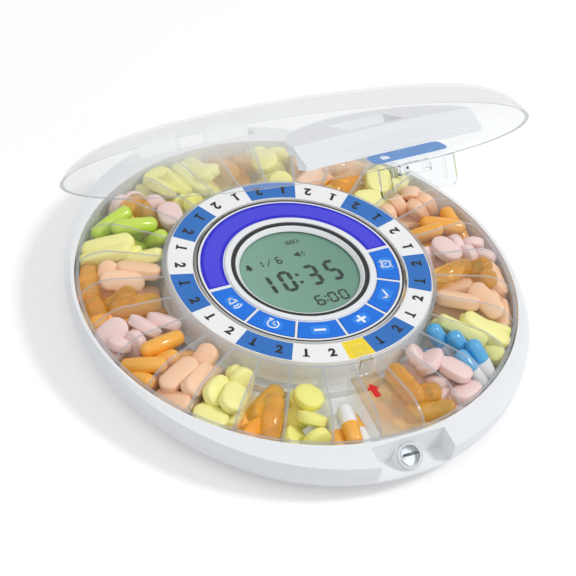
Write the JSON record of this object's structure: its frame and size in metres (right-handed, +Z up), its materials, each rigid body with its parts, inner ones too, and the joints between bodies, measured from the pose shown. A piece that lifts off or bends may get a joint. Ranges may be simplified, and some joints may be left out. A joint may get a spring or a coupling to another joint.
{
  "type": "automatic pill dispenser",
  "caption": "Round tray dispenser for tablets: clear lidded tray of dose wedges turning on a white oval base, numbered dose ring, centre display with keys, front lock and a white outlet hood",
  "frame": {"origin": "on the ground under the middle of the turning tray", "axes": "+Z up, the lock at the front (-Y), the lid hinge at the back (+Y), +X to the right seen from the front"},
  "size_m": [0.207, 0.2288, 0.1519],
  "materials": {
    "white_shell": "gloss",
    "white_cover": "matte",
    "clear_lid": "clear",
    "clear_tray": "clear",
    "white_panel": "satin",
    "ring_print": "printed",
    "button_blue": "satin",
    "band_blue": "printed",
    "label_blue": "printed",
    "black_ring": "gloss",
    "window": "clear",
    "lcd": "satin",
    "board": "satin",
    "switch_black": "matte",
    "pad_rubber": "matte",
    "foot_rubber": "matte",
    "steel": "satin",
    "spring_steel": "bright",
    "cell_wrap": "gloss",
    "gear_plastic": "matte",
    "lock_chrome": "polished"
  },
  "bodies": {
    "base": {"base_shell": "white_shell", "bottom_cover": "white_cover", "battery_contacts": "spring_steel", "cover_screws": "steel", "hinge_pin": "steel", "hub_housing": "white_shell", "display_bezel": "white_shell", "display_ring": "black_ring", "display_window": "window", "lcd_module": "lcd", "circuit_board": "board", "board_screws": "steel", "key_switches": "switch_black", "key_pad": "pad_rubber", "buzzer": "switch_black", "band_label": "band_blue", "drive_motor": "steel", "motor_plate": "steel", "motor_screws": "steel", "lock_ring": "lock_chrome", "battery_cell_1": "cell_wrap", "foot_1": "foot_rubber", "battery_cell_2": "cell_wrap", "foot_2": "foot_rubber", "battery_cell_3": "cell_wrap", "foot_3": "foot_rubber", "battery_cell_4": "cell_wrap", "foot_4": "foot_rubber"},
    "tray": {"tray_floor": "clear_tray", "tray_outer_wall": "clear_tray", "tray_inner_wall": "clear_tray", "tray_dividers": "clear_tray", "tray_gear": "clear_tray", "dosage_ring": "ring_print", "start_plate": "clear_tray", "ring_clip": "clear_tray"},
    "lid": {"lid_dome": "clear_lid", "dispensing_panel": "white_panel", "latch_plate": "clear_lid", "latch_label": "label_blue"},
    "lock": {"lock_barrel": "white_shell"},
    "door": {"battery_door": "white_cover"},
    "pinion": {"motor_shaft": "steel", "drive_pinion": "gear_plastic"},
    "key_sound": {"button_sound": "button_blue"},
    "key_clock": {"button_clock": "button_blue"},
    "key_minus": {"button_minus": "button_blue"},
    "key_plus": {"button_plus": "button_blue"},
    "key_confirm": {"button_confirm": "button_blue"},
    "key_alarm": {"button_alarm": "button_blue"}
  },
  "joints": [
    {"name": "tray_spin", "type": "hinge", "parent": "base", "child": "tray", "pos_m": [0, 0, 0.0118], "axis": [0, 0, 1], "continuous": true},
    {"name": "pinion_spin", "type": "hinge", "parent": "base", "child": "pinion", "pos_m": [0.048, 0, 0.0208], "axis": [0, 0, 1], "continuous": true},
    {"name": "lid_hinge", "type": "hinge", "parent": "base", "child": "lid", "pos_m": [0, 0.1069, 0.0174], "axis": [-1, 0, 0], "range_deg": [-35.05, 60]},
    {"name": "lock_turn", "type": "hinge", "parent": "base", "child": "lock", "pos_m": [0, -0.1062, 0.0176], "axis": [0, -0.6428, 0.766], "range_deg": [0, 90]},
    {"name": "door_lift", "type": "slide", "parent": "base", "child": "door", "axis": [0, 0, -1], "range_m": [0, 0.03]},
    {"name": "press_sound", "type": "slide", "parent": "base", "child": "key_sound", "axis": [0, 0, -1], "range_m": [0, 0.0005], "stiffness_N_per_m": 400},
    {"name": "press_clock", "type": "slide", "parent": "base", "child": "key_clock", "axis": [0, 0, -1], "range_m": [0, 0.0005], "stiffness_N_per_m": 400},
    {"name": "press_minus", "type": "slide", "parent": "base", "child": "key_minus", "axis": [0, 0, -1], "range_m": [0, 0.0005], "stiffness_N_per_m": 400},
    {"name": "press_plus", "type": "slide", "parent": "base", "child": "key_plus", "axis": [0, 0, -1], "range_m": [0, 0.0005], "stiffness_N_per_m": 400},
    {"name": "press_confirm", "type": "slide", "parent": "base", "child": "key_confirm", "axis": [0, 0, -1], "range_m": [0, 0.0005], "stiffness_N_per_m": 400},
    {"name": "press_alarm", "type": "slide", "parent": "base", "child": "key_alarm", "axis": [0, 0, -1], "range_m": [0, 0.0005], "stiffness_N_per_m": 400}
  ],
  "couplings": [
    {"joint": "pinion_spin", "follows": "tray_spin", "ratio": 5.8}
  ]
}
